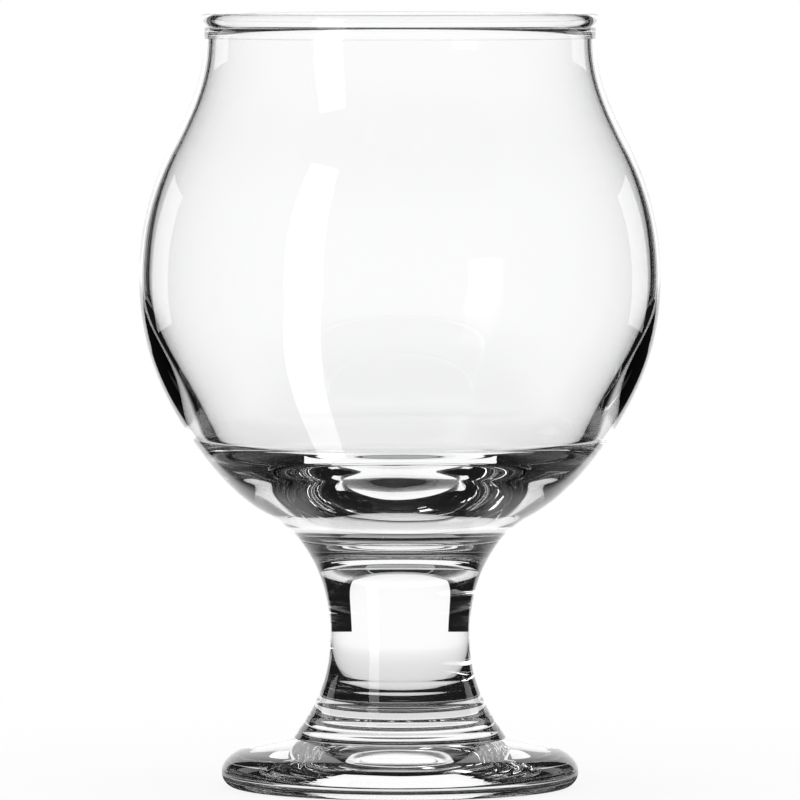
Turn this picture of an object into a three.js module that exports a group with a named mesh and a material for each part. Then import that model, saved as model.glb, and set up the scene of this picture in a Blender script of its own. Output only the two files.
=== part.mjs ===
// A stackable footed beer glass: a blown bowl with a rolled rim, a solid stem and a pressed foot,
// three pieces of clear glass that are fused end to end.
// Millimetres, +Z up, origin at the middle of the ring that the foot stands on.

import * as THREE from 'three';

// Mouth and rim
const NECK_DIAMETER = 53.0;
const NECK_DROP = 3.5;
const NECK_WALL = 1.1;
const RIM_BEAD_HEIGHT = 2.0;
const RIM_BEAD_OUTER_LIP = 0.6;
const RIM_BEAD_INNER_LIP = 0.3;

// Upper bowl, from the belly to the rim
const UPPER_BOWL_HEIGHT = 36.1;
const SHOULDER_DIAMETER = 61.5;
const SHOULDER_RISE = 18.8;
const SHOULDER_LEAN = -26.8;
const SHOULDER_WALL = 1.2;

// Lower bowl, from the stem to the belly
const BELLY_DIAMETER = 70.6;
const BELLY_WALL = 1.35;
const LOWER_BOWL_HEIGHT = 35.3;
const CHEEK_DIAMETER = 56.1;
const CHEEK_DROP = 21.75;
const CHEEK_LEAN = 35;
const CHEEK_WALL = 2.9;
const HIP_DIAMETER = 35.6;
const HIP_RISE = 3.4;
const HIP_LEAN = 59.5;
const FLOOR_THICKNESS = 7.5;
const KNEE_DIAMETER = 36.0;
const KNEE_RISE = 3.6;
const KNEE_LEAN = 66;

// Stem, whose two ends are fused to the bowl and to the foot
const STEM_LENGTH = 26.8;
const STEM_TOP_DIAMETER = 27.1;
const STEM_TOP_LEAN = 37;
const STEM_WAIST_DIAMETER = 18.9;
const STEM_WAIST_RISE = 13.6;
const STEM_BASE_DIAMETER = 28.8;
const STEM_BASE_LEAN = -37;

// Foot, which passes through the mouth of the glass below when glasses are stacked
const STACKING_CLEARANCE = 0.9;
const FOOT_HEIGHT = 6.6;
const FOOT_EDGE_RISE = 1.9;
const FOOT_CROWN_INSET = 2.8;
const FOOT_CROWN_RISE = 4.9;
const FOOT_CROWN_LEAN = -74;
const STANDING_RING_INSET = 1.7;
const STANDING_RING_WIDTH = 3.0;
const PUSH_UP_RISE = 1.6;

// Facets of the curved surfaces
const FACETS_AROUND = 64;
const FACETS_PER_CURVE = 5;
const FACETS_PER_BEAD = 8;

// Length of a curve's two handles, as a share of the distance between its ends
const HANDLE_SHARE = 0.36;

const CLEAR_GLASS = new THREE.Color(0xf4f7f8);
const GLASS_ROUGHNESS = 0.04;
const GLASS_METALNESS = 0;

const footTop = FOOT_HEIGHT;
const stemTop = footTop + STEM_LENGTH;
const bellyHeight = stemTop + LOWER_BOWL_HEIGHT;
const rimHeight = bellyHeight + UPPER_BOWL_HEIGHT;
const mouthRadius = NECK_DIAMETER / 2 - NECK_WALL - RIM_BEAD_INNER_LIP;
const footRadius = mouthRadius - STACKING_CLEARANCE;

// A place on an outline and the way the outline runs there, in degrees from upright towards the outside.
function station(radius, height, lean) {
  return { point: new THREE.Vector2(radius, height), lean: THREE.MathUtils.degToRad(lean) };
}

// The direction of an outline at a station, as it is followed upwards.
function heading(place) {
  return new THREE.Vector2(Math.sin(place.lean), Math.cos(place.lean));
}

// The same place on the inner face of a wall, square to the outer face.
function inside(place, wall) {
  const inward = new THREE.Vector2(-Math.cos(place.lean), Math.sin(place.lean));
  return { point: place.point.clone().addScaledVector(inward, wall), lean: place.lean };
}

// The points of a smooth curve that runs through stations, from the lowest to the highest.
function outlineThrough(stations) {
  const path = new THREE.CurvePath();
  for (let i = 1; i < stations.length; i += 1) {
    const [from, to] = [stations[i - 1], stations[i]];
    const reach = HANDLE_SHARE * from.point.distanceTo(to.point);
    const leaving = from.point.clone().addScaledVector(heading(from), reach);
    const arriving = to.point.clone().addScaledVector(heading(to), -reach);
    path.add(new THREE.CubicBezierCurve(from.point, leaving, arriving, to.point));
  }
  return path.getPoints(FACETS_PER_CURVE);
}

// The rolled edge of the mouth: an oval section that laps over both faces of the neck's wall.
function rimBead(outerNeck, innerNeck) {
  const outermost = outerNeck + RIM_BEAD_OUTER_LIP;
  const innermost = innerNeck - RIM_BEAD_INNER_LIP;
  const middle = (outermost + innermost) / 2;
  const halfWidth = (outermost - innermost) / 2;
  const halfHeight = RIM_BEAD_HEIGHT / 2;
  const start = -Math.acos((outerNeck - middle) / halfWidth);
  const end = 2 * Math.PI - Math.acos((innerNeck - middle) / halfWidth);
  const section = new THREE.EllipseCurve(
    middle, rimHeight - halfHeight, halfWidth, halfHeight, start, end,
  );
  return section.getPoints(FACETS_PER_BEAD);
}

// A solid of revolution about Z from an outline that starts and ends on the axis.
function turned(name, outline) {
  const geometry = new THREE.LatheGeometry(outline, FACETS_AROUND);
  geometry.rotateX(Math.PI / 2);
  const material = new THREE.MeshStandardMaterial({
    color: CLEAR_GLASS,
    roughness: GLASS_ROUGHNESS,
    metalness: GLASS_METALNESS,
  });
  const mesh = new THREE.Mesh(geometry, material);
  mesh.name = name;
  return mesh;
}

function onAxis(height) {
  return new THREE.Vector2(0, height);
}

// The bowl: its outer face from the stem to the neck, the rim, and its inner face down to the floor.
function makeBowl() {
  const seat = station(STEM_TOP_DIAMETER / 2, stemTop, STEM_TOP_LEAN);
  const hip = station(HIP_DIAMETER / 2, stemTop + HIP_RISE, HIP_LEAN);
  const cheek = station(CHEEK_DIAMETER / 2, bellyHeight - CHEEK_DROP, CHEEK_LEAN);
  const belly = station(BELLY_DIAMETER / 2, bellyHeight, 0);
  const shoulder = station(SHOULDER_DIAMETER / 2, bellyHeight + SHOULDER_RISE, SHOULDER_LEAN);
  const neck = station(NECK_DIAMETER / 2, rimHeight - NECK_DROP, 0);

  const floor = station(0, stemTop + FLOOR_THICKNESS, 90);
  const knee = station(KNEE_DIAMETER / 2, floor.point.y + KNEE_RISE, KNEE_LEAN);
  const innerNeck = inside(neck, NECK_WALL);
  const innerFace = outlineThrough([
    floor,
    knee,
    inside(cheek, CHEEK_WALL),
    inside(belly, BELLY_WALL),
    inside(shoulder, SHOULDER_WALL),
    innerNeck,
  ]);

  return turned('bowl', [
    onAxis(stemTop),
    ...outlineThrough([seat, hip, cheek, belly, shoulder, neck]),
    ...rimBead(neck.point.x, innerNeck.point.x),
    ...innerFace.reverse(),
  ]);
}

// The stem: a solid waisted bar that flares to the bowl above and to the foot below.
function makeStem() {
  const outline = outlineThrough([
    station(STEM_BASE_DIAMETER / 2, footTop, STEM_BASE_LEAN),
    station(STEM_WAIST_DIAMETER / 2, footTop + STEM_WAIST_RISE, 0),
    station(STEM_TOP_DIAMETER / 2, stemTop, STEM_TOP_LEAN),
  ]);
  return turned('stem', [onAxis(footTop), ...outline, onAxis(stemTop)]);
}

// The foot: a disc with a rounded edge, hollowed underneath so that it stands on a flat ring.
function makeFoot() {
  const ringOuter = footRadius - STANDING_RING_INSET;
  const ringInner = ringOuter - STANDING_RING_WIDTH;
  const hollow = new THREE.CubicBezierCurve(
    onAxis(PUSH_UP_RISE),
    new THREE.Vector2(ringInner / 2, PUSH_UP_RISE),
    new THREE.Vector2(ringInner * (1 - HANDLE_SHARE), PUSH_UP_RISE / 2),
    new THREE.Vector2(ringInner, 0),
  );
  const edge = outlineThrough([
    station(ringOuter, 0, 90),
    station(footRadius, FOOT_EDGE_RISE, 0),
    station(footRadius - FOOT_CROWN_INSET, FOOT_CROWN_RISE, FOOT_CROWN_LEAN),
    station(STEM_BASE_DIAMETER / 2, footTop, FOOT_CROWN_LEAN),
  ]);
  return turned('foot', [...hollow.getPoints(FACETS_PER_CURVE), ...edge, onAxis(footTop)]);
}

const glass = new THREE.Group();
glass.name = 'stackable_beer_glass';
glass.add(makeBowl(), makeStem(), makeFoot());

export default glass;
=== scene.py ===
"""A stackable footed beer glass in clear glass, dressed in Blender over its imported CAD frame.

Bowl, stem and foot are surfaces of revolution worked out with numpy. They follow the outlines of the CAD
solids at a finer pitch, and add what hot glass shows close up: fine rings round the lower stem, an uneven
thick floor and an uneven underside. Metres, +Z up, origin under the middle of the foot.
"""

from __future__ import annotations

import logging
import math
from dataclasses import dataclass
from enum import Enum
from typing import Any

import bpy
import numpy as np
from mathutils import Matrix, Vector


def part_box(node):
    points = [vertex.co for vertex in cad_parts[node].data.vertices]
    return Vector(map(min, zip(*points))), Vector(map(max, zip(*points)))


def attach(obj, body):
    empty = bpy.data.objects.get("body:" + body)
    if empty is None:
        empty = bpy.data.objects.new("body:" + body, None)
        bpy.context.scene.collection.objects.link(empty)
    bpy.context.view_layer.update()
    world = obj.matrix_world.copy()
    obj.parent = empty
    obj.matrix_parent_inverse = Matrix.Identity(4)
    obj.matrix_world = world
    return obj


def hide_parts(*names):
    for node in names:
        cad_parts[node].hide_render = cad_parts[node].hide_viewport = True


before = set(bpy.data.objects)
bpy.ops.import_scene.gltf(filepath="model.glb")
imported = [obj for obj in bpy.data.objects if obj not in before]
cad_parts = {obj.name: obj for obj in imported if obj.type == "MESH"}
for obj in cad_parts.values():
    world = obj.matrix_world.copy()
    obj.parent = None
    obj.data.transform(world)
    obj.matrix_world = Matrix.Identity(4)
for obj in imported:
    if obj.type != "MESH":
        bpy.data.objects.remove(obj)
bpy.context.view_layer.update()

MM = 0.001
BODY = "root"
LOG = logging.getLogger("beer_glass")

# Count round the axis, phase and winding of each wave of an uneven surface
Waves = tuple[tuple[int, float, float], ...]

# The corners of a flat card
Corners = tuple[tuple[float, float, float], ...]

# Points round each turned surface, and rows along each stretch of an outline
AROUND = 256
ROWS = 26

# Length of a curve's two handles, as a share of the distance between its ends
HANDLE_SHARE = 0.36

# How often light bends on its way through both walls of the bowl
HOLLOW_BENDS = 4

WHITE = (1.0, 1.0, 1.0, 1.0)
MATT_WHITE = (0.9, 0.9, 0.9, 1.0)


class Face(Enum):
    """The finish that a face takes, as the number of its material slot."""

    POLISHED = 0
    FUSED = 1


class Ray(Enum):
    """The kinds of light path that the studio answers in its own way, by the name of their sockets."""

    CAMERA = "Is Camera Ray"
    DIFFUSE = "Is Diffuse Ray"
    GLOSSY = "Is Glossy Ray"
    TRANSMISSION = "Is Transmission Ray"
    SHADOW = "Is Shadow Ray"


class Signal:
    """A shader socket that can stand in a Python expression; each operation adds one Math node."""

    def __init__(self, graph: "Graph", socket: bpy.types.NodeSocket) -> None:
        """Keeps the graph and the socket."""
        self.graph = graph
        self.socket = socket

    def _math(self, operation: str, first: Any, second: Any) -> "Signal":
        """Adds a Math node.

        Args:
            operation: The node's operation.
            first: Its first value, a Signal or a number.
            second: Its second value.

        Returns:
            The node's result.
        """
        node = self.graph.add("ShaderNodeMath", {"operation": operation}, {0: first, 1: second})
        return self.graph.signal(node, 0)

    def __add__(self, other: Any) -> "Signal":
        """Sum."""
        return self._math("ADD", self, other)

    __radd__ = __add__

    def __sub__(self, other: Any) -> "Signal":
        """Difference."""
        return self._math("SUBTRACT", self, other)

    def __rsub__(self, other: Any) -> "Signal":
        """Difference from a plain number."""
        return self._math("SUBTRACT", other, self)

    def __mul__(self, other: Any) -> "Signal":
        """Product."""
        return self._math("MULTIPLY", self, other)

    __rmul__ = __mul__


class Graph:
    """The node tree of a material or of the world, emptied and ready to fill."""

    def __init__(self, owner: bpy.types.Material | bpy.types.World) -> None:
        """Empties the owner's tree."""
        owner.use_nodes = True
        self.tree = owner.node_tree
        self.tree.nodes.clear()

    def add(
        self, kind: str, settings: dict[str, Any] | None = None, sockets: dict[str | int, Any] | None = None
    ) -> bpy.types.Node:
        """Adds one node.

        Args:
            kind: The node's type.
            settings: Its own properties, set first.
            sockets: Values, Signals or shader nodes for its inputs, by name or number.

        Returns:
            The new node.
        """
        node = self.tree.nodes.new(kind)
        for name, value in (settings or {}).items():
            setattr(node, name, value)
        for key, value in (sockets or {}).items():
            if isinstance(value, Signal):
                self.tree.links.new(value.socket, node.inputs[key])
            elif isinstance(value, bpy.types.Node):
                self.tree.links.new(value.outputs[0], node.inputs[key])
            else:
                node.inputs[key].default_value = value
        return node

    def signal(self, node: bpy.types.Node, output: str | int) -> Signal:
        """One output of a node, ready for an expression."""
        return Signal(self, node.outputs[output])

    def ray(self, kind: Ray) -> Signal:
        """1 on light paths of one kind, 0 on others."""
        return self.signal(self.add("ShaderNodeLightPath"), kind.value)

    def object_place(self) -> Signal:
        """The place on the piece, in metres in the frame that all pieces share."""
        return self.signal(self.add("ShaderNodeTexCoord"), "Object")

    def noise(self, place: Signal, per_metre: float, detail: float) -> Signal:
        """Smooth noise from 0 to 1.

        Args:
            place: Where the noise is read.
            per_metre: How many swells there are to a metre.
            detail: How many finer layers lie over them.

        Returns:
            The value of the noise.
        """
        sockets = {"Vector": place, "Scale": per_metre, "Detail": detail, "Roughness": 0.5}
        return self.signal(self.add("ShaderNodeTexNoise", {}, sockets), 0)

    def ease(self, value: Signal, low: float, high: float) -> Signal:
        """A smooth step from 0 to 1.

        Args:
            value: What is stepped.
            low: Where the step starts.
            high: Where it ends.

        Returns:
            The step's value.
        """
        sockets = {"Value": value, "From Min": low, "From Max": high}
        return self.signal(self.add("ShaderNodeMapRange", {"interpolation_type": "SMOOTHSTEP"}, sockets), 0)

    def through_hollow(self) -> Signal:
        """1 on light that has bent four times or more, as it does through both walls of the bowl, else 0."""
        bends = self.signal(self.add("ShaderNodeLightPath"), "Transmission Depth")
        sockets = {0: bends, 1: HOLLOW_BENDS - 0.5}
        return self.signal(self.add("ShaderNodeMath", {"operation": "GREATER_THAN"}, sockets), 0)

    def unreflected(self) -> Signal:
        """1 on light that has only bent on its way, without a reflection in or on the glass, else 0."""
        reflections = self.signal(self.add("ShaderNodeLightPath"), "Glossy Depth")
        sockets = {0: reflections, 1: 0.5}
        return self.signal(self.add("ShaderNodeMath", {"operation": "LESS_THAN"}, sockets), 0)

    def larger(self, first: Signal, second: Signal) -> Signal:
        """The larger of two values."""
        return self.signal(self.add("ShaderNodeMath", {"operation": "MAXIMUM"}, {0: first, 1: second}), 0)

    def end(self, shader: bpy.types.Node, output: str = "ShaderNodeOutputMaterial") -> None:
        """Leads a shader to the output."""
        self.add(output, {}, {"Surface": shader})


@dataclass(frozen=True)
class ClearGlass:
    """Clear fire-polished glass, faintly wavy as it cooled, with a trace of haze from washing.

    The shadow that it throws is light: shadow rays pass through a plain see-through shader.
    """

    name: str
    wave_height: float
    waves_per_metre: float
    tint: tuple[float, float, float, float] = (0.985, 0.986, 0.99, 1.0)
    refraction: float = 1.52
    clearest: float = 0.0
    haziest: float = 0.006
    haze_per_metre: float = 140.0
    haze_detail: float = 3.0
    wave_detail: float = 1.0
    shadow_clarity: float = 0.86

    def material(self) -> bpy.types.Material:
        """Builds the finish.

        Returns:
            The material.
        """
        material = bpy.data.materials.new(self.name)
        graph = Graph(material)
        place = graph.object_place()
        haze = graph.noise(place, self.haze_per_metre, self.haze_detail)
        waves = graph.noise(place, self.waves_per_metre, self.wave_detail)
        relief = {"Strength": 1.0, "Distance": self.wave_height, "Height": waves}
        bump = graph.add("ShaderNodeBump", {}, relief)
        glass = graph.add("ShaderNodeBsdfPrincipled", {}, {
            "Base Color": self.tint,
            "Roughness": haze * (self.haziest - self.clearest) + self.clearest,
            "IOR": self.refraction,
            "Transmission Weight": 1.0,
            "Normal": bump,
        })
        clarity = (self.shadow_clarity, self.shadow_clarity, self.shadow_clarity, 1.0)
        light_through = graph.add("ShaderNodeBsdfTransparent", {}, {"Color": clarity})
        layers = {0: graph.ray(Ray.SHADOW), 1: glass, 2: light_through}
        graph.end(graph.add("ShaderNodeMixShader", {}, layers))
        return material


@dataclass(frozen=True)
class FusedSeam:
    """The faces inside the glass where two pieces have melted together, which show nothing."""

    name: str = "fused_seam"

    def material(self) -> bpy.types.Material:
        """Builds the finish.

        Returns:
            The material.
        """
        material = bpy.data.materials.new(self.name)
        graph = Graph(material)
        graph.end(graph.add("ShaderNodeBsdfTransparent", {}, {"Color": WHITE}))
        return material


@dataclass(frozen=True)
class Station:
    """A place on an outline, and its lean there in degrees from upright towards the outside."""

    radius: float
    height: float
    lean: float

    def point(self) -> np.ndarray:
        """Radius and height."""
        return np.array([self.radius, self.height])

    def heading(self) -> np.ndarray:
        """The way that the outline runs, as it is followed upwards."""
        return np.array([math.sin(math.radians(self.lean)), math.cos(math.radians(self.lean))])

    def inside(self, wall: float) -> "Station":
        """The same place on the inner face of a wall, square to the outer face."""
        outline = self.heading()
        return Station(self.radius - wall * outline[1], self.height + wall * outline[0], self.lean)


def outline_through(stations: list[Station], rows: int = ROWS) -> np.ndarray:
    """Carries a smooth line through stations.

    Each stretch is the cubic curve (1-t)^3 a + 3 (1-t)^2 t b + 3 (1-t) t^2 c + t^3 d, where a and d are its
    ends, and b and c stand off them along their headings by a fixed share of the chord.

    Args:
        stations: The stations, from the lowest to the highest.
        rows: How many rows each stretch has.

    Returns:
        Radius and height of each point.
    """
    ends = np.array([place.point() for place in stations])
    headings = np.array([place.heading() for place in stations])
    a, d = ends[:-1, None], ends[1:, None]
    reach = HANDLE_SHARE * np.linalg.norm(d - a, axis=2, keepdims=True)
    b, c = a + reach * headings[:-1, None], d - reach * headings[1:, None]
    t = np.linspace(0.0, 1.0, rows, endpoint=False)[None, :, None]
    stretches = (1 - t) ** 3 * a + 3 * (1 - t) ** 2 * t * b + 3 * (1 - t) * t**2 * c + t**3 * d
    return np.vstack([stretches.reshape(-1, 2), ends[-1]])


def disc(radius: float, height: float, rows: int = 6) -> np.ndarray:
    """A flat round face, from the axis to just short of its edge.

    Args:
        radius: The radius of the edge.
        height: The height of the face.
        rows: How many rings it has.

    Returns:
        Radius and height of each point.
    """
    across = np.linspace(0.0, radius, rows, endpoint=False)
    return np.column_stack([across, np.full(rows, height)])


def outward(outline: np.ndarray) -> np.ndarray:
    """The direction out of the glass at each point of an outline: its slope turned by a quarter."""
    slope = np.gradient(outline, axis=0)
    square = np.column_stack([slope[:, 1], -slope[:, 0]])
    return square / np.linalg.norm(square, axis=1, keepdims=True)


def swell(outline: np.ndarray, strength: np.ndarray, waves: Waves) -> np.ndarray:
    """Unevenness of a turned surface, along its outward direction.

    It is strength times the mean of cos(k angle + phase + turn s), where s is the way along the outline
    from 0 to 1, so that each wave winds a little as it goes.

    Args:
        outline: Radius and height of each point.
        strength: The height of the unevenness at each point, in metres.
        waves: Count round the axis, phase and winding of each wave.

    Returns:
        The offset of each point, by row and angle.
    """
    angle = np.linspace(0.0, 2.0 * math.pi, AROUND, endpoint=False)[None, :]
    along = np.linspace(0.0, 1.0, len(outline))[:, None]
    total = sum(np.cos(count * angle + phase + turn * along) for count, phase, turn in waves)
    return strength[:, None] * total / len(waves)


def turned(name: str, outline: np.ndarray, fused: np.ndarray, offset: np.ndarray) -> bpy.types.Object:
    """A closed surface of revolution about the axis of the glass.

    The point at row i and angle a is (r cos a, r sin a, h), with r and h from the outline, moved outwards by
    the offset. The first and last rows are single points on the axis.

    Args:
        name: The piece's name.
        outline: Radius and height of each row, from axis to axis, with the glass on the left.
        fused: Which of the bands between rows are fused faces.
        offset: How far each point is moved outwards, by row and angle.

    Returns:
        The new object.
    """
    rows = len(outline)
    angle = np.linspace(0.0, 2.0 * math.pi, AROUND, endpoint=False)[None, :]
    square = outward(outline)
    radius = outline[:, :1] + offset * square[:, :1]
    height = outline[:, 1:] + offset * square[:, 1:]
    grid = np.stack([radius * np.cos(angle), radius * np.sin(angle), height + 0.0 * angle], axis=2)
    first, last = np.array([[0.0, 0.0, outline[0, 1]]]), np.array([[0.0, 0.0, outline[-1, 1]]])
    points = np.vstack([first, grid[1:-1].reshape(-1, 3), last])

    index = 1 + np.arange((rows - 2) * AROUND).reshape(rows - 2, AROUND)
    beside = np.roll(index, -1, axis=1)
    bands = np.stack([index[:-1], beside[:-1], beside[1:], index[1:]], axis=2).reshape(-1, 4)
    start = np.column_stack([np.zeros(AROUND, int), beside[0], index[0]])
    end = np.column_stack([index[-1], beside[-1], np.full(AROUND, len(points) - 1)])

    mesh = bpy.data.meshes.new(name)
    mesh.from_pydata(points.tolist(), [], start.tolist() + bands.tolist() + end.tolist())
    seam = np.repeat(fused, AROUND)
    mesh.polygons.foreach_set("material_index", np.where(seam, Face.FUSED.value, Face.POLISHED.value))
    mesh.polygons.foreach_set("use_smooth", ~seam)
    mesh.update()
    piece = bpy.data.objects.new(name, mesh)
    bpy.context.scene.collection.objects.link(piece)
    return piece


def dress(piece: bpy.types.Object, node: str, finish: bpy.types.Material, seam: bpy.types.Material) -> None:
    """Gives a piece its finishes and sets it in the place of its CAD node.

    Args:
        piece: The piece.
        node: The CAD node that it stands for.
        finish: The material of its own surface.
        seam: The material of its fused faces.
    """
    piece.data.materials.append(finish)
    piece.data.materials.append(seam)
    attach(piece, BODY)
    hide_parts(node)
    LOG.info("%s: %d faces for node %s", piece.name, len(piece.data.polygons), node)


@dataclass
class Bowl:
    """The blown bowl: a round belly drawn in to a narrow neck, a melted rim and a thick floor."""

    finish: ClearGlass = ClearGlass("blown_glass", wave_height=0.008 * MM, waves_per_metre=70.0)
    neck_diameter: float = 53.0 * MM
    neck_drop: float = 3.5 * MM
    neck_wall: float = 1.1 * MM
    rim_height: float = 104.8 * MM
    bead_height: float = 2.0 * MM
    bead_outer_lip: float = 0.6 * MM
    bead_inner_lip: float = 0.3 * MM
    shoulder_diameter: float = 61.5 * MM
    shoulder_rise: float = 18.8 * MM
    shoulder_lean: float = -26.8
    shoulder_wall: float = 1.2 * MM
    belly_height: float = 68.7 * MM
    belly_wall: float = 1.35 * MM
    cheek_diameter: float = 56.1 * MM
    cheek_drop: float = 21.75 * MM
    cheek_lean: float = 35.0
    cheek_wall: float = 2.9 * MM
    hip_diameter: float = 35.6 * MM
    hip_rise: float = 3.4 * MM
    hip_lean: float = 59.5
    seat_diameter: float = 27.1 * MM
    seat_lean: float = 37.0
    floor_thickness: float = 7.5 * MM
    knee_diameter: float = 36.0 * MM
    knee_rise: float = 3.6 * MM
    knee_lean: float = 66.0
    floor_unevenness: float = 0.05 * MM
    uneven_depth: float = 9.0 * MM
    uneven_reach: float = 12.0 * MM
    floor_waves: Waves = ((2, 0.4, 9.0), (3, 2.1, -13.0), (5, 1.2, 17.0), (7, 4.0, -8.0))
    bead_rows: int = 40

    def bead(self, outer_neck: float, inner_neck: float) -> np.ndarray:
        """The rolled edge of the mouth, an oval that laps over both faces of the wall.

        Its points are the oval's middle plus (half width cos a, half height sin a), from where the oval
        leaves the outer face to where it meets the inner one.

        Args:
            outer_neck: The radius of the outer face of the neck.
            inner_neck: The radius of its inner face.

        Returns:
            Radius and height of each point.
        """
        outermost, innermost = outer_neck + self.bead_outer_lip, inner_neck - self.bead_inner_lip
        middle, half_width = (outermost + innermost) / 2, (outermost - innermost) / 2
        half_height = self.bead_height / 2
        start = -math.acos((outer_neck - middle) / half_width)
        end = 2.0 * math.pi - math.acos((inner_neck - middle) / half_width)
        angle = np.linspace(start, end, self.bead_rows)
        level = self.rim_height - half_height
        return np.column_stack([middle + half_width * np.cos(angle), level + half_height * np.sin(angle)])

    def build(self, seam: bpy.types.Material) -> bpy.types.Object:
        """Builds and dresses the bowl.

        Args:
            seam: The material of the face that is fused to the stem.

        Returns:
            The piece.
        """
        belly_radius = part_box("bowl")[1].x
        stem_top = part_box("stem")[1].z
        seat = Station(self.seat_diameter / 2, stem_top, self.seat_lean)
        hip = Station(self.hip_diameter / 2, stem_top + self.hip_rise, self.hip_lean)
        cheek = Station(self.cheek_diameter / 2, self.belly_height - self.cheek_drop, self.cheek_lean)
        belly = Station(belly_radius, self.belly_height, 0.0)
        shoulder_height = self.belly_height + self.shoulder_rise
        shoulder = Station(self.shoulder_diameter / 2, shoulder_height, self.shoulder_lean)
        neck = Station(self.neck_diameter / 2, self.rim_height - self.neck_drop, 0.0)
        inner_neck = neck.inside(self.neck_wall)
        floor = Station(0.0, stem_top + self.floor_thickness, 90.0)
        knee = Station(self.knee_diameter / 2, floor.height + self.knee_rise, self.knee_lean)
        inner = outline_through([
            floor, knee, cheek.inside(self.cheek_wall), belly.inside(self.belly_wall),
            shoulder.inside(self.shoulder_wall), inner_neck,
        ])[::-1]
        underside = disc(seat.radius, stem_top)
        outer = outline_through([seat, hip, cheek, belly, shoulder, neck])
        outline = np.vstack([underside, outer, self.bead(neck.radius, inner_neck.radius), inner])
        fused = np.arange(len(outline) - 1) < len(underside)
        piece = turned("bowl_glass", outline, fused, self.unevenness(outline, len(outline) - len(inner)))
        dress(piece, "bowl", self.finish.material(), seam)
        return piece

    def unevenness(self, outline: np.ndarray, inner_start: int) -> np.ndarray:
        """Slow swells of the inner face, which grow towards the thick floor and die out on the axis.

        Their strength is a bell curve of the height above the floor, times the square of the radius as a
        share of the reach.

        Args:
            outline: Radius and height of each row.
            inner_start: The first row of the inner face.

        Returns:
            The offset of each point, by row and angle.
        """
        floor_level = outline[-1, 1]
        depth = np.exp(-(((outline[:, 1] - floor_level) / self.uneven_depth) ** 2))
        reach = np.clip(outline[:, 0] / self.uneven_reach, 0.0, 1.0) ** 2
        strength = self.floor_unevenness * depth * reach
        strength[:inner_start] = 0.0
        return swell(outline, strength, self.floor_waves)


@dataclass
class Stem:
    """The solid waisted stem, fused to the bowl above and to the foot below."""

    finish: ClearGlass = ClearGlass("pressed_stem_glass", wave_height=0.008 * MM, waves_per_metre=110.0)
    top_diameter: float = 27.1 * MM
    top_lean: float = 37.0
    waist_diameter: float = 18.9 * MM
    waist_rise: float = 13.6 * MM
    base_diameter: float = 28.8 * MM
    base_lean: float = -37.0
    ring_heights: tuple[float, ...] = (11.6 * MM, 9.5 * MM, 7.8 * MM)
    ring_stand: float = 0.06 * MM
    ring_width: float = 0.4 * MM
    rows: int = 90

    def build(self, seam: bpy.types.Material) -> bpy.types.Object:
        """Builds and dresses the stem.

        Args:
            seam: The material of the two fused ends.

        Returns:
            The piece.
        """
        low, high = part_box("stem")
        base = Station(self.base_diameter / 2, low.z, self.base_lean)
        waist = Station(self.waist_diameter / 2, low.z + self.waist_rise, 0.0)
        top = Station(self.top_diameter / 2, high.z, self.top_lean)
        below, above = disc(base.radius, low.z), disc(top.radius, high.z)[::-1]
        outline = np.vstack([below, outline_through([base, waist, top], self.rows), above])
        band = np.arange(len(outline) - 1)
        fused = (band < len(below)) | (band >= len(outline) - 1 - len(above))
        rings = self.rings(outline)
        rings[: len(below) + 1] = 0.0
        rings[-len(above) - 1 :] = 0.0
        piece = turned("stem_glass", outline, fused, np.repeat(rings[:, None], AROUND, axis=1))
        dress(piece, "stem", self.finish.material(), seam)
        return piece

    def rings(self, outline: np.ndarray) -> np.ndarray:
        """Fine rounded rings round the lower stem, each a bell curve of the height.

        Args:
            outline: Radius and height of each row.

        Returns:
            How far each row stands out.
        """
        centres = np.array(self.ring_heights)[None, :]
        bells = np.exp(-(((outline[:, 1:] - centres) / self.ring_width) ** 2))
        return self.ring_stand * bells.sum(axis=1)


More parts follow.
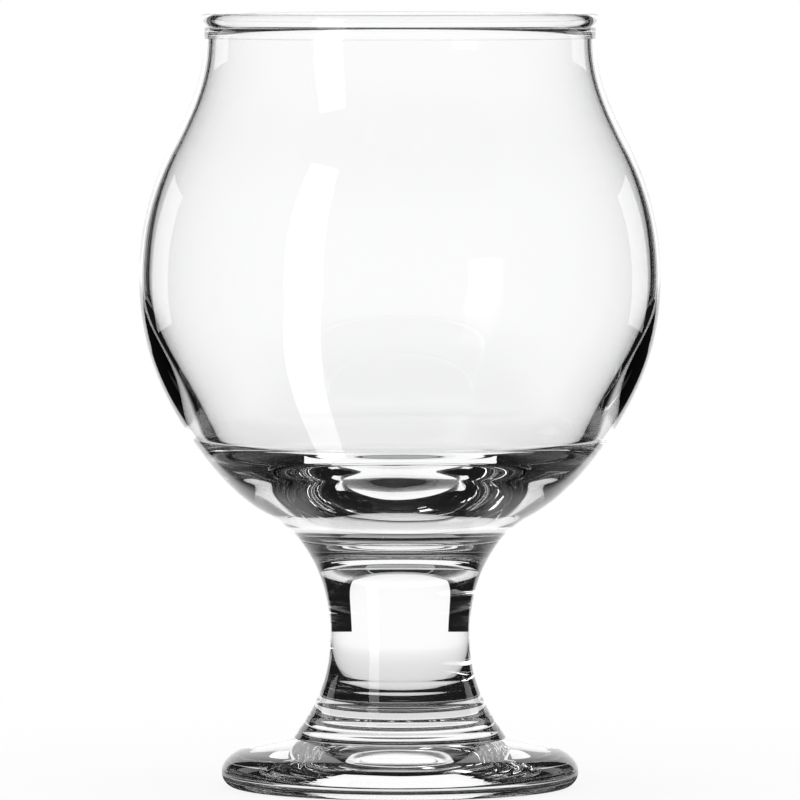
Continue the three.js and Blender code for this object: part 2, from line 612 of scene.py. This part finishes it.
@dataclass
class Foot:
    """The pressed foot: a disc with a rounded edge, hollowed so that it stands on a flat ring."""

    finish: ClearGlass = ClearGlass("pressed_foot_glass", wave_height=0.006 * MM, waves_per_metre=80.0)
    edge_rise: float = 1.9 * MM
    crown_inset: float = 2.8 * MM
    crown_rise: float = 4.9 * MM
    crown_lean: float = -74.0
    stem_diameter: float = 28.8 * MM
    ring_inset: float = 1.7 * MM
    ring_width: float = 3.0 * MM
    push_up_rise: float = 1.6 * MM
    unevenness: float = 0.035 * MM
    waves: Waves = ((2, 1.0, 11.0), (3, 0.3, -9.0), (5, 2.2, 15.0), (8, 0.9, -21.0))

    def build(self, seam: bpy.types.Material) -> bpy.types.Object:
        """Builds and dresses the foot, whose hollow is uneven by a sine square of the way to the ring.

        Args:
            seam: The material of the face that is fused to the stem.

        Returns:
            The piece.
        """
        low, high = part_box("foot")
        foot_radius = high.x
        ring_outer = foot_radius - self.ring_inset
        ring_inner = ring_outer - self.ring_width
        hollow = self.hollow(ring_inner, low.z)
        edge = outline_through([
            Station(ring_outer, low.z, 90.0),
            Station(foot_radius, low.z + self.edge_rise, 0.0),
            Station(foot_radius - self.crown_inset, low.z + self.crown_rise, self.crown_lean),
            Station(self.stem_diameter / 2, high.z, self.crown_lean),
        ])
        top = disc(self.stem_diameter / 2, high.z)[::-1]
        outline = np.vstack([hollow, edge, top])
        fused = np.arange(len(outline) - 1) >= len(outline) - 1 - len(top)
        strength = self.unevenness * np.sin(np.pi * np.clip(outline[:, 0] / ring_inner, 0.0, 1.0)) ** 2
        strength[len(hollow) :] = 0.0
        piece = turned("foot_glass", outline, fused, swell(outline, strength, self.waves))
        dress(piece, "foot", self.finish.material(), seam)
        return piece

    def hollow(self, ring_inner: float, ground: float) -> np.ndarray:
        """The hollow under the foot, a cubic curve from the axis to the inner edge of the standing ring.

        Args:
            ring_inner: The inner radius of the standing ring.
            ground: The height that the ring stands on.

        Returns:
            Radius and height of each point.
        """
        t = np.linspace(0.0, 1.0, 2 * ROWS)[:, None]
        crown = ground + self.push_up_rise
        a, b = np.array([0.0, crown]), np.array([ring_inner / 2, crown])
        c = np.array([ring_inner * (1.0 - HANDLE_SHARE), ground + self.push_up_rise / 2])
        d = np.array([ring_inner, ground])
        return (1 - t) ** 3 * a + 3 * (1 - t) ** 2 * t * b + 3 * (1 - t) * t**2 * c + t**3 * d


class Seen(Enum):
    """Which light paths in the glass show a studio card: reflections, bends, or both."""

    REFLECTED = (True, False)
    BENT = (False, True)
    BOTH = (True, True)


@dataclass(frozen=True)
class Sheet:
    """A flat four-sided studio card, white or black, which shows in the glass and in nothing else.

    A flag is a card that only light reflected inside the walls can see, so that it draws their edges without
    darkening the clear bowl.
    """

    name: str
    corners: Corners
    brightness: float
    seen: Seen = Seen.BOTH
    flag: bool = False

    def build(self) -> None:
        """Builds the card as a stage object."""
        mesh = bpy.data.meshes.new(self.name)
        mesh.from_pydata([list(corner) for corner in self.corners], [], [(0, 1, 2, 3)])
        card = bpy.data.objects.new(self.name, mesh)
        bpy.context.scene.collection.objects.link(card)
        mesh.materials.append(self.finish())
        card.visible_camera = False
        card.visible_diffuse = False
        card.visible_shadow = False
        card.visible_volume_scatter = False
        card.visible_glossy, card.visible_transmission = self.seen.value
        LOG.info("%s set up", self.name)

    def finish(self) -> bpy.types.Material:
        """The card's own light.

        Returns:
            The material.
        """
        material = bpy.data.materials.new(self.name)
        material.cycles.emission_sampling = "NONE"
        graph = Graph(material)
        shader = graph.add("ShaderNodeEmission", {}, {"Color": WHITE, "Strength": self.brightness})
        if self.flag:
            clear = graph.add("ShaderNodeBsdfTransparent", {}, {"Color": WHITE})
            hidden = graph.larger(graph.through_hollow(), graph.unreflected())
            shader = graph.add("ShaderNodeMixShader", {}, {0: hidden, 1: shader, 2: clear})
        graph.end(shader)
        return material


def upright(bearing: float, distance: float, width: float, bottom: float, top: float) -> Corners:
    """The corners of an upright card that faces the axis of the glass.

    Args:
        bearing: Degrees from straight behind the glass towards the right.
        distance: How far the card stands from the axis.
        width: Its width.
        bottom: The height of its lower edge.
        top: The height of its upper edge.

    Returns:
        The four corners.
    """
    turn = math.radians(bearing)
    middle = distance * np.array([math.sin(turn), math.cos(turn)])
    across = 0.5 * width * np.array([math.cos(turn), -math.sin(turn)])
    left, right = middle - across, middle + across
    return ((*left, bottom), (*right, bottom), (*right, top), (*left, top))


def facing(left: float, right: float, depth: float, bottom: float, top: float) -> Corners:
    """The corners of an upright card that faces the camera.

    Args:
        left: Where its left side stands.
        right: Where its right side stands.
        depth: How far it stands behind the axis of the glass.
        bottom: The height of its lower edge.
        top: The height of its upper edge.

    Returns:
        The four corners.
    """
    return ((left, depth, bottom), (right, depth, bottom), (right, depth, top), (left, depth, top))


def overhead(half_width: float, front: float, back: float, level: float) -> Corners:
    """The corners of a level card above the glass.

    Args:
        half_width: Half its width.
        front: Where its front edge lies.
        back: Where its back edge lies.
        level: Its height.

    Returns:
        The four corners.
    """
    return ((-half_width, front, level), (half_width, front, level),
            (half_width, back, level), (-half_width, back, level))


def lying(bearing: float, near: float, far: float, spread: float, level: float) -> Corners:
    """The corners of a strip that lies on the table and widens away from the glass.

    Args:
        bearing: Degrees from straight behind the glass towards the right.
        near: The distance of its near end from the axis.
        far: The distance of its far end.
        spread: The angle between its sides, in degrees.
        level: Its height.

    Returns:
        The four corners.
    """
    sides = np.radians([bearing - spread / 2, bearing + spread / 2])
    left, right = np.column_stack([np.sin(sides), np.cos(sides)])
    return ((*near * left, level), (*far * left, level), (*far * right, level), (*near * right, level))


@dataclass
class Studio:
    """A white table in a white room, with dark flags and white cards round the glass that draw its edges.

    Each way is a pair of shares of a direction, between which the room fades.
    """

    table_radius: float = 0.6
    table_level: float = -0.1 * MM
    table_points: int = 96
    table_rings: tuple[float, ...] = (0.06, 0.12, 0.25, 0.5, 1.0)
    shadow_share: float = 0.18
    plain_from: float = 0.16
    # Painted shade in the table's glow to the glass: its level beside the glass, and the radius and fade of
    # a dark patch under the foot
    near_shade_level: float = 0.7
    foot_shade: float = 25.0 * MM
    foot_shade_fade: float = 8.0 * MM
    front_fade: float = 10.0 * MM
    corridor_spread: float = 0.3
    corridor_side: float = 32.0 * MM
    corridor_fade: float = 12.0 * MM
    side_way: tuple[float, float] = (0.1, 0.3)
    high_way: tuple[float, float] = (0.5, 0.8)
    front_way: tuple[float, float] = (0.5, 0.95)
    dark: float = 0.01
    fill: float = 0.05
    white: float = 1.08
    ambient: float = 0.55
    lamp_power: float = 4.0
    lamp_height: float = 0.9
    lamp_size: float = 0.7
    cards: tuple[Sheet, ...] = (
        Sheet("backdrop", upright(0.0, 0.45, 0.57, -0.01, 0.4), 1.08),
        Sheet("ceiling", overhead(0.25, -0.06, 0.45, 0.7), 0.4),
        Sheet("right_flag", facing(0.07, 0.25, 0.096, 0.008, 0.26), 0.01, flag=True),
        Sheet("left_flag", facing(-0.25, -0.07, 0.096, 0.008, 0.26), 0.01, flag=True),
        Sheet("right_strip", upright(58.0, 0.15, 0.05, 0.04, 0.115), 1.2, Seen.REFLECTED),
        Sheet("left_strip", upright(-58.0, 0.15, 0.05, 0.04, 0.115), 1.2, Seen.REFLECTED),
        Sheet("key_strip", upright(-138.0, 0.5, 0.15, 0.0, 0.52), 2.6, Seen.REFLECTED),
        Sheet("key_on_table", lying(-138.0, 0.042, 0.5, 17.0, 0.0005), 2.6, Seen.REFLECTED),
        Sheet("key_echo", upright(-138.0, 0.5, 0.15, 0.0, 0.4), 2.0, Seen.BENT),
    )

    def build(self) -> None:
        """Builds the table, the lamp, the world and the cards."""
        self.table()
        self.lamp()
        self.world()
        for card in self.cards:
            card.build()

    def table(self) -> None:
        """A round white table top: rings of points at (r cos a, r sin a) about its middle."""
        angle = np.linspace(0.0, 2.0 * math.pi, self.table_points, endpoint=False)[None, :]
        radius = self.table_radius * np.array(self.table_rings)[:, None]
        level = np.full((len(radius), self.table_points), self.table_level)
        rings = np.stack([radius * np.cos(angle), radius * np.sin(angle), level], axis=2)
        points = np.vstack([[[0.0, 0.0, self.table_level]], rings.reshape(-1, 3)])
        index = 1 + np.arange(len(radius) * self.table_points).reshape(len(radius), self.table_points)
        beside = np.roll(index, -1, axis=1)
        bands = np.stack([index[:-1], index[1:], beside[1:], beside[:-1]], axis=2).reshape(-1, 4)
        middle = np.column_stack([np.zeros(self.table_points, int), index[0], beside[0]])
        mesh = bpy.data.meshes.new("table")
        mesh.from_pydata(points.tolist(), [], middle.tolist() + bands.tolist())
        table = bpy.data.objects.new("table", mesh)
        bpy.context.scene.collection.objects.link(table)
        mesh.materials.append(self.table_finish())

    def table_finish(self) -> bpy.types.Material:
        """The table's finish: matt white with a faint kept shadow, and glowing levels of its own to the
        glass that carry painted shade.

        Light that has only bent finds it white, with a painted shade that darkens it near the glass, and so
        does light through the hollow of the bowl. Light reflected inside thick glass finds it white in a
        widening corridor behind the foot, and dark elsewhere, which takes in a painted shade under the foot.

        Returns:
            The material.
        """
        material = bpy.data.materials.new("white_table")
        material.cycles.emission_sampling = "NONE"
        graph = Graph(material)
        place = graph.object_place()
        length = graph.add("ShaderNodeVectorMath", {"operation": "LENGTH"}, {0: place})
        distance = graph.signal(length, "Value")
        parts = graph.add("ShaderNodeSeparateXYZ", {}, {0: place})
        across, depth = graph.signal(parts, "X"), graph.signal(parts, "Y")
        aside = graph.signal(graph.add("ShaderNodeMath", {"operation": "ABSOLUTE"}, {0: across}), 0)
        # Painted shade under the foot: light reflected in the glass finds the table dark there
        outside = graph.ease(distance, self.foot_shade, self.foot_shade + self.foot_shade_fade)
        behind = graph.ease(depth, -self.front_fade, self.front_fade)
        corridor_end = self.corridor_side + self.corridor_fade
        corridor = 1.0 - graph.ease(aside - depth * self.corridor_spread, self.corridor_side, corridor_end)
        # Painted shade near the glass: the glow is darker beside the glass and reaches full white from
        # plain_from outwards
        away = graph.ease(distance, 0.0, self.plain_from)
        shaded = away * (1.0 - self.near_shade_level) + self.near_shade_level
        clear = shaded * self.white
        solid = outside * behind * corridor * (clear - self.dark) + self.dark
        bright = graph.larger(graph.through_hollow(), graph.unreflected())
        level = solid + bright * (clear - solid)
        matt = graph.add("ShaderNodeBsdfDiffuse", {}, {"Color": MATT_WHITE})
        plain = graph.add("ShaderNodeEmission", {}, {"Color": WHITE, "Strength": 1.0})
        glow = graph.add("ShaderNodeEmission", {}, {"Color": WHITE, "Strength": level})
        far = away * self.shadow_share + (1.0 - self.shadow_share)
        seen = graph.add("ShaderNodeMixShader", {}, {0: far, 1: matt, 2: plain})
        lit = graph.add("ShaderNodeMixShader", {}, {0: graph.ray(Ray.CAMERA), 1: matt, 2: seen})
        in_glass = graph.ray(Ray.GLOSSY) + graph.ray(Ray.TRANSMISSION)
        graph.end(graph.add("ShaderNodeMixShader", {}, {0: in_glass, 1: lit, 2: glow}))
        return material

    def lamp(self) -> None:
        """A large soft lamp overhead, which lights the table and throws the shadow."""
        light = bpy.data.lights.new("overhead", "AREA")
        light.size = self.lamp_size
        light.energy = self.lamp_power
        lamp = bpy.data.objects.new("overhead", light)
        lamp.location = (0.0, 0.0, self.lamp_height)
        lamp.visible_glossy = False
        lamp.visible_transmission = False
        bpy.context.scene.collection.objects.link(lamp)

    def world(self) -> None:
        """A room that is white to the camera and soft light to the table.

        Solid glass sees it dark, apart from a fill in front. Low down, light that has passed through the
        hollow of the bowl sees it white all round, and light that has only bent sees it white at the sides
        and in front.
        """
        world = bpy.data.worlds.new("room")
        bpy.context.scene.world = world
        graph = Graph(world)
        way = graph.signal(graph.add("ShaderNodeTexCoord"), "Generated")
        parts = graph.add("ShaderNodeSeparateXYZ", {}, {0: way})
        depth, height = graph.signal(parts, "Y"), graph.signal(parts, "Z")
        solid = graph.ease(0.0 - depth, *self.front_way) * (self.fill - self.dark) + self.dark
        beside = 1.0 - graph.ease(depth, *self.side_way)
        low = 1.0 - graph.ease(height, *self.high_way)
        clear = graph.larger(graph.through_hollow(), graph.unreflected() * beside) * low
        in_glass = solid + clear * (self.white - solid)
        camera, diffuse = graph.ray(Ray.CAMERA), graph.ray(Ray.DIFFUSE)
        level = camera + diffuse * self.ambient + (1.0 - camera - diffuse) * in_glass
        room = graph.add("ShaderNodeBackground", {}, {"Color": WHITE, "Strength": level})
        graph.end(room, "ShaderNodeOutputWorld")


@dataclass(frozen=True)
class PhotoCamera:
    """A long lens a little above the rim, level with the photograph's view of the glass."""

    distance: float = 1.3
    height: float = 117.0 * MM
    aim_height: float = 52.4 * MM
    framed: float = 108.4 * MM
    sensor: float = 36.0
    nearest: float = 0.01

    def build(self) -> None:
        """Sets up the camera, with a lens that frames the given size at the axis of the glass."""
        place = Vector((0.0, -self.distance, self.height))
        aim = Vector((0.0, 0.0, self.aim_height))
        data = bpy.data.cameras.new("photo_camera")
        data.sensor_width = self.sensor
        data.lens = self.sensor * (aim - place).length / self.framed
        data.clip_start = self.nearest
        camera = bpy.data.objects.new("photo_camera", data)
        camera.location = place
        camera.rotation_euler = (aim - place).to_track_quat("-Z", "Y").to_euler()
        bpy.context.scene.collection.objects.link(camera)
        bpy.context.scene.camera = camera


@dataclass(frozen=True)
class LightPaths:
    """How often light may bend and bounce, enough for the thick glass of the stem and the foot."""

    bends: int = 28
    reflections: int = 20
    see_through: int = 24

    def apply(self) -> None:
        """Sets the limits and the plain way of showing colours."""
        scene = bpy.context.scene
        scene.cycles.max_bounces = self.bends
        scene.cycles.transmission_bounces = self.bends
        scene.cycles.glossy_bounces = self.reflections
        scene.cycles.transparent_max_bounces = self.see_through
        scene.view_settings.view_transform = "Standard"


def main() -> None:
    """Builds the camera, the studio and the three pieces of glass."""
    logging.basicConfig(level=logging.INFO, format="%(message)s")
    LightPaths().apply()
    PhotoCamera().build()
    Studio().build()
    seam = FusedSeam().material()
    for part in (Bowl(), Stem(), Foot()):
        part.build(seam)


if __name__ == "__main__":
    main()
